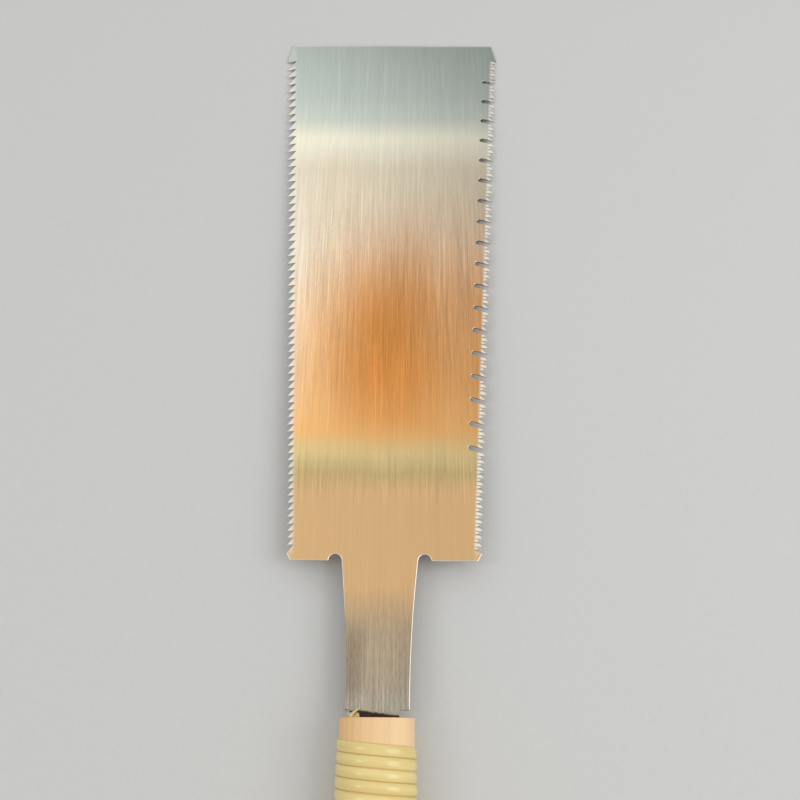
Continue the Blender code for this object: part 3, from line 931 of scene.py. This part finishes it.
def crosscut_tooth(name, side, back, point):
    """A knife-like crosscut tooth of pitch 1, bevelled on one side and set to the other."""
    flat_z = -side * (HALF_PLATE * 0.6 + TOOTH_SET)
    bevel_z = side * (HALF_PLATE - TOOTH_SET * 0.5)
    corners = [
        (0.0, CROSSCUT_DEPTH, side * HALF_PLATE),
        (back + 0.14, CROSSCUT_DEPTH * 0.52, bevel_z),
        (point - 0.10, CROSSCUT_DEPTH * 0.40, bevel_z),
        (1.0, CROSSCUT_DEPTH, side * HALF_PLATE),
        (0.0, CROSSCUT_DEPTH, -side * HALF_PLATE),
        (back, CROSSCUT_DEPTH * 0.28, flat_z),
        (point, 0.0, flat_z),
        (1.0, CROSSCUT_DEPTH, -side * HALF_PLATE),
    ]
    v0, v_back, v_point, v1, w0, w_back, w_point, w1 = range(8)
    faces = [(v0, v_back, v_point, v1), (w1, w_point, w_back, w0), (v0, w0, w_back, v_back),
             (v_back, w_back, w_point, v_point), (v_point, w_point, w1, v1)]
    if side < 0:
        faces = [face[::-1] for face in faces]
    moved = (v_back, v_point, w_back, w_point)
    return tooth_mesh(name, corners, faces, moved, [False] * 2 + [True] * 3)


def tooth_row_tree():
    """Sets two kinds of tooth on a row of places, each to its own size, a little unevenly."""
    inputs = {
        "Places": "Geometry",
        "First Tooth": "Object",
        "Second Tooth": "Object",
        "Turn": "Rotation",
        "Unevenness": "Float",
        "Seed": "Int",
        "Plate Steel": "Material",
        "Filed Steel": "Material",
    }
    t = ShapeTree("tooth_row", inputs, "Teeth")
    size = t.named("size", "FLOAT_VECTOR")
    first = t.named("first", "BOOLEAN")
    second = t.node("FunctionNodeBooleanMath", {0: first}, operation="NOT").outputs[0]
    both = t.node("GeometryNodeJoinGeometry")
    for tooth, wanted in (("Second Tooth", second), ("First Tooth", first)):
        shape = t.node("GeometryNodeObjectInfo", {"Object": t.given[tooth]}).outputs["Geometry"]
        where = {"Points": t.given["Places"], "Rotation": t.given["Turn"], "Scale": size}
        row = t.shape("InstanceOnPoints", {**where, "Selection": wanted, "Instance": shape})
        t.put(both.inputs[0], row)
    # Each tooth gets its own small shift, which only its point takes
    drawn = {"Min": (-1.0, -1.0, -1.0), "Seed": t.given["Seed"]}
    shift = t.node("FunctionNodeRandomValue", drawn, data_type="FLOAT_VECTOR").outputs[0]
    teeth = t.stored(both.outputs[0], "shift", shift, data_type="FLOAT_VECTOR", domain="INSTANCE")
    teeth = t.shape("RealizeInstances", {"Geometry": teeth})
    amount = t.times(t.named("tooth_point", "FLOAT"), t.given["Unevenness"])
    scaled = {0: t.named("shift", "FLOAT_VECTOR"), "Scale": amount}
    offset = t.node("ShaderNodeVectorMath", scaled, operation="SCALE").outputs[0]
    teeth = t.shape("SetPosition", {"Geometry": teeth, "Offset": offset})
    teeth = t.shape("SetMaterial", {"Geometry": teeth, "Material": t.given["Plate Steel"]})
    bright = {"Selection": t.named("filed", "BOOLEAN"), "Material": t.given["Filed Steel"]}
    return t.ending_in(t.shape("SetMaterial", {"Geometry": teeth, **bright}))


def made_by_nodes(obj, tree, values):
    """Runs a node tree on an object with the named inputs and returns the result as a plain mesh."""
    modifier = obj.modifiers.new("made_by_nodes", "NODES")
    modifier.node_group = tree
    for item in tree.interface.items_tree:
        if item.in_out == "INPUT" and item.name in values:
            modifier[item.identifier] = values[item.name]
    graph = bpy.context.evaluated_depsgraph_get()
    mesh = bpy.data.meshes.new_from_object(obj.evaluated_get(graph))
    bpy.data.objects.remove(obj, do_unlink=True)
    return mesh


def tooth_row(name, edge, teeth, kinds, tree, seed, steels):
    """All teeth of one edge as a mesh, open at their roots."""
    places = bpy.data.meshes.new(name)
    places.from_pydata([place.to_3d() for place, _, _ in teeth], [], [])
    mark(places, "size", "FLOAT_VECTOR", [part for _, size, _ in teeth for part in size])
    mark(places, "first", "BOOLEAN", [first for _, _, first in teeth])
    shapes = [add_object(mesh.name, mesh) for mesh in kinds]
    values = {"First Tooth": shapes[0], "Second Tooth": shapes[1], "Turn": edge.turn,
              "Unevenness": TOOTH_UNEVENNESS, "Seed": seed,
              "Plate Steel": steels[0], "Filed Steel": steels[1]}
    mesh = made_by_nodes(add_object(name, places), tree, values)
    for shape in shapes:
        bpy.data.objects.remove(shape, do_unlink=True)
    return mesh


def build_blade():
    steels = [make_scraped_steel(), make_filed_steel()]
    rip_edge, rip_outline, rip_teeth = rip_side()
    cut_edge, cut_outline, cut_teeth = crosscut_side()
    bm = plate_mesh(rip_outline + neck_side(-1), cut_outline + neck_side(1))
    tree = tooth_row_tree()
    (_, size, _), (_, following, _) = rip_teeth[:2]
    shrink = Vector((following[0] / size[0], following[1] / size[1]))
    rip_kinds = [rip_tooth("rip_tooth_up", shrink, TOOTH_SET),
                 rip_tooth("rip_tooth_down", shrink, -TOOTH_SET)]
    cut_kinds = [crosscut_tooth("crosscut_tooth_up", 1, 0.30, 0.92),
                 crosscut_tooth("crosscut_tooth_down", -1, 0.12, 0.74)]
    rows = [tooth_row("rip_row", rip_edge, rip_teeth, rip_kinds, tree, 3, steels),
            tooth_row("crosscut_row", cut_edge, cut_teeth, cut_kinds, tree, 8, steels)]
    for row in rows:
        slots = [steels.index(material) if material else 0 for material in row.materials]
        for face in row.polygons:
            face.material_index = slots[face.material_index]
        bm.from_mesh(row)
    bmesh.ops.remove_doubles(bm, verts=bm.verts, dist=WELD)
    # A bevel makes its corners and faces in no fixed order
    put_in_order(bm.verts, lambda corner: tuple(corner.co))
    put_in_order(bm.faces, lambda face: sorted(tuple(corner.co) for corner in face.verts))
    mesh = mesh_from(bm, "saw_blade")
    soften(mesh, BLADE_SMOOTH_BELOW)
    finished_piece(mesh, steels, "blade", "saw_blade")


def handle_half_width(y):
    return lerp(MOUTH_WIDTH, BUTT_WIDTH, -y / HANDLE_LENGTH) / 2


def handle_profile():
    """The handle's half width along it, rounded at the mouth and at the butt."""
    mouth = handle_half_width(0.0)
    butt = handle_half_width(-HANDLE_LENGTH)
    quarter = [turn / 2 for turn in half_turn(ROUNDING_STEPS)]
    rounding = [(1 - math.cos(turn), 1 - math.sin(turn)) for turn in quarter]
    profile = [(MOUTH_Y - MOUTH_ROUND * c, mouth - MOUTH_ROUND * s) for c, s in rounding]
    stations = [-COLLAR_LENGTH, -SHIM_LENGTH, -SHIM_LENGTH - SHIM_CLEARANCE, -POCKET_MIDDLE]
    stations += [POCKET_END + POCKET_WALL, POCKET_END]
    stations += [lerp(POCKET_END, -HANDLE_LENGTH + BUTT_ROUND, i / 12) for i in range(1, 12)]
    profile += [(y, handle_half_width(y)) for y in stations]
    profile += [(BUTT_ROUND * s - HANDLE_LENGTH, butt - BUTT_ROUND * c) for c, s in rounding]
    return profile


def pocket_section(y, side):
    """The joint face of one half at y, from left to right, with its share of the tang's pocket."""
    low = HALF_JOINT_GAP
    in_pocket = y > POCKET_END + POCKET_WALL / 2
    room = tang_half(y, NECK_THICKNESS, TANG_END_THICKNESS) + TANG_ROOM if in_pocket else low
    half = tang_half(max(y, -TANG_LENGTH), TANG_WIDTH, TANG_END_WIDTH) + TANG_ROOM
    left, right = TANG_OFFSET - half, TANG_OFFSET + half
    step = left + half * 0.4
    seat = room
    if side > 0 and y > -SHIM_LENGTH - SHIM_CLEARANCE / 2:
        left = min(left, SHIM_LEFT - TANG_ROOM)
        step = SHIM_LEFT + SHIM_WIDTH + TANG_ROOM
        seat = room + SHIM_THICKNESS + SHIM_CLEARANCE
    return [(left, low), (left, seat), (step, seat), (step, room), (right, room), (right, low)]


def handle_half_mesh(name, side):
    """One half of the handle: an oval shell closed by its joint face, its mouth and its butt."""
    bm = bmesh.new()
    sections = []
    for y, half_width in handle_profile():
        half_height = half_width * THICKNESS_PER_WIDTH
        ring = [(half_width - JOINT_EASE, HALF_JOINT_GAP)]
        for turn in half_turn(OVAL_STEPS):
            height = half_height * math.sin(turn)
            ring.append((half_width * math.cos(turn), max(height, HALF_JOINT_GAP + JOINT_EASE)))
        ring.append((JOINT_EASE - half_width, HALF_JOINT_GAP))
        ring += pocket_section(y, side)
        sections.append([bm.verts.new((x, y, side * z)) for x, z in ring])
    count = len(sections[0])
    for front, back in zip(sections, sections[1:]):
        for i in range(count):
            j = (i + 1) % count
            bm.faces.new((front[i], back[i], back[j], front[j]))
    bm.faces.new(sections[0])
    bm.faces.new(sections[-1][::-1])
    bmesh.ops.remove_doubles(bm, verts=bm.verts, dist=WELD)
    bmesh.ops.dissolve_degenerate(bm, edges=bm.edges, dist=WELD)
    bmesh.ops.recalc_face_normals(bm, faces=bm.faces)
    mesh = mesh_from(bm, name)
    soften(mesh)
    return mesh


def build_handle():
    wood = make_handle_wood()
    for side, node in ((1, "handle_upper_half"), (-1, "handle_lower_half")):
        mesh = handle_half_mesh(node, side)
        finished_piece(mesh, [wood], "handle", node)


def binding_path():
    """The strip's middle line on the wood, with the way out from the wood and the strip's size there."""
    path = []
    total = BINDING_TURNS * STEPS_PER_TURN
    for i in range(total + 1):
        turns = i / STEPS_PER_TURN
        turn = 2 * math.pi * turns
        y = -COLLAR_LENGTH - STRIP_START - BINDING_PITCH * turns
        half_width = handle_half_width(y)
        half_height = half_width * THICKNESS_PER_WIDTH
        y -= BINDING_SLANT / 2 * (1 - math.sin(turn))
        y += STRIP_SWAY * wander(turns * 1.7, 1)
        # The ends are pared thin
        end = ease(min(i, total - i) / (STEPS_PER_TURN * STRIP_END_TURNS))
        size = lerp(STRIP_END_SIZE, 1.0, end) * (1 + 0.02 * wander(turns * 1.3, 2))
        out = Vector((-math.sin(turn) / half_width, 0.0, -math.cos(turn) / half_height)).normalized()
        sunk = -STRIP_SINK * (1.0 + 0.5 * wander(turns * 1.1, 3))
        place = Vector((-half_width * math.sin(turn), y, -half_height * math.cos(turn))) + out * sunk
        path.append((place, out, size))
    return path


def strip_tree():
    """Sweeps a domed strip along a line, with its flat side kept to the wood."""
    inputs = {"Path": "Geometry", "Width": "Float", "Height": "Float", "Fullness": "Float"}
    inputs["Skin"] = "Material"
    t = ShapeTree("rattan_strip", inputs, "Strip")
    # The section is a circle pressed to a dome: x is the height over the wood, y the place across
    section = t.shape("CurvePrimitiveCircle", {"Resolution": SECTION_CORNERS, "Radius": 1.0})
    height, across, _ = t.split(t.shape("InputPosition"))
    rise = t.math("POWER", t.math("MAXIMUM", height, 0.0), t.given["Fullness"])
    half_width = t.times(t.given["Width"], 0.5)
    pressed = t.join(t.times(rise, t.given["Height"]), t.times(across, half_width))
    section = t.stored(section, "strip_across", across)
    section = t.shape("SetPosition", {"Geometry": section, "Position": pressed})
    line = t.shape("MeshToCurve", {"Mesh": t.given["Path"]})
    line = t.stored(line, "strip_along", t.node("GeometryNodeSplineParameter").outputs["Length"])
    out = t.named("out", "FLOAT_VECTOR")
    line = t.shape("SetCurveNormal", {"Curve": line, "Normal": out}, mode="FREE")
    swept = {"Curve": line, "Profile Curve": section, "Scale": t.named("size", "FLOAT")}
    strip = t.shape("CurveToMesh", {**swept, "Fill Caps": True})
    strip = t.shape("RealizeInstances", {"Geometry": strip})
    return t.ending_in(t.shape("SetMaterial", {"Geometry": strip, "Material": t.given["Skin"]}))


def build_binding():
    skin = make_rattan_skin()
    path = binding_path()
    line = bpy.data.meshes.new("rattan_path")
    line.from_pydata([place for place, _, _ in path], [(i, i + 1) for i in range(len(path) - 1)], [])
    mark(line, "out", "FLOAT_VECTOR", [part for _, out, _ in path for part in out])
    mark(line, "size", "FLOAT", [size for _, _, size in path])
    values = {"Width": STRIP_WIDTH, "Height": STRIP_HEIGHT, "Fullness": STRIP_FULLNESS, "Skin": skin}
    mesh = made_by_nodes(add_object("rattan_path", line), strip_tree(), values)
    soften(mesh, STRIP_SMOOTH_BELOW)
    finished_piece(mesh, [skin], "handle", "rattan_binding")


def add_sliver(bm, stations):
    """A torn sliver of wood through stations of (place, width, height), pointed at its end."""
    rings = []
    for place, width, height in stations:
        half = width / 2
        spots = ((-half, 0.0), (half, 0.0), (half * 0.8, height), (-half * 0.7, height * 0.9))
        rings.append([bm.verts.new(place + Vector((dx, 0.0, dz))) for dx, dz in spots])
    for back, front in zip(rings, rings[1:]):
        for k in range(4):
            j = (k + 1) % 4
            bm.faces.new((back[k], back[j], front[j], front[k]))
    bm.faces.new(rings[0][::-1])
    bm.faces.new(rings[-1])


def build_shim():
    """The shim's flat body in the handle and its end, frayed into slivers, with one bent across."""
    bm = bmesh.new()
    floor = NECK_THICKNESS / 2 + SHIM_GAP
    for i in range(SLIVERS):
        x = SHIM_LEFT + SHIM_WIDTH * (i + 0.5) / SLIVERS + 0.0001 * wander(i * 3.3, 4)
        width = SHIM_WIDTH / SLIVERS * (1.15 + 0.3 * wander(i * 2.1, 5))
        reach = 0.0003 + 0.0011 * ease(0.5 + 1.2 * wander(i * 5.7, 6))
        height = SHIM_THICKNESS * (0.72 + 0.25 * wander(i * 4.1, 7))
        drift = 0.0005 * wander(i * 6.3, 8)
        add_sliver(bm, (
            (Vector((x, -SHIM_LENGTH, floor)), width * 0.7, height * 0.3),
            (Vector((x, -0.002, floor)), width, height),
            (Vector((x + drift * 0.3, reach * 0.3, floor)), width * 0.9, height * 0.9),
            (Vector((x + drift * 0.7, reach * 0.75, floor + height * 0.1)), width * 0.55, height * 0.6),
            (Vector((x + drift, reach, floor + height * 0.2)), width * 0.12, height * 0.2),
        ))
    bent = [(Vector((SHIM_LEFT + x, y, floor + z)), *size) for (x, y, z), size in BENT_SLIVER]
    add_sliver(bm, bent)
    bmesh.ops.recalc_face_normals(bm, faces=bm.faces)
    mesh = mesh_from(bm, "tang_shim")
    finished_piece(mesh, [make_split_wood()], "handle", "tang_shim")


def build_stage():
    """A plain pale floor, soft light from above and both sides, and the camera over the mouth."""
    scene = bpy.context.scene
    bm = bmesh.new()
    bmesh.ops.create_circle(bm, cap_ends=True, segments=96, radius=FLOOR_RADIUS)
    floor = add_object("floor", mesh_from(bm, "floor"))
    floor.location.z = -FLOOR_DROP
    floor.data.materials.append(make_floor_paper())
    world = bpy.data.worlds.new("studio")
    world.use_nodes = True
    back = world.node_tree.nodes["Background"]
    back.inputs["Color"].default_value = (1.0, 1.0, 1.0, 1.0)
    back.inputs["Strength"].default_value = SKY_STRENGTH
    scene.world = world
    for name, place, width, height, power in LAMPS:
        light = bpy.data.lights.new(name, "AREA")
        light.shape = "RECTANGLE"
        light.size = width
        light.size_y = height
        light.energy = power
        lamp = add_object(name, light)
        lamp.location = place
        lamp.rotation_euler = (-Vector(place)).to_track_quat("-Z", "Y").to_euler()
    lens = bpy.data.cameras.new("camera")
    lens.lens = FOCAL_LENGTH
    camera = add_object("camera", lens)
    camera.location = CAMERA_PLACE
    camera.rotation_euler = CAMERA_TURN
    scene.camera = camera
    scene.view_settings.view_transform = "Standard"


build_blade()
build_handle()
build_binding()
build_shim()
build_stage()
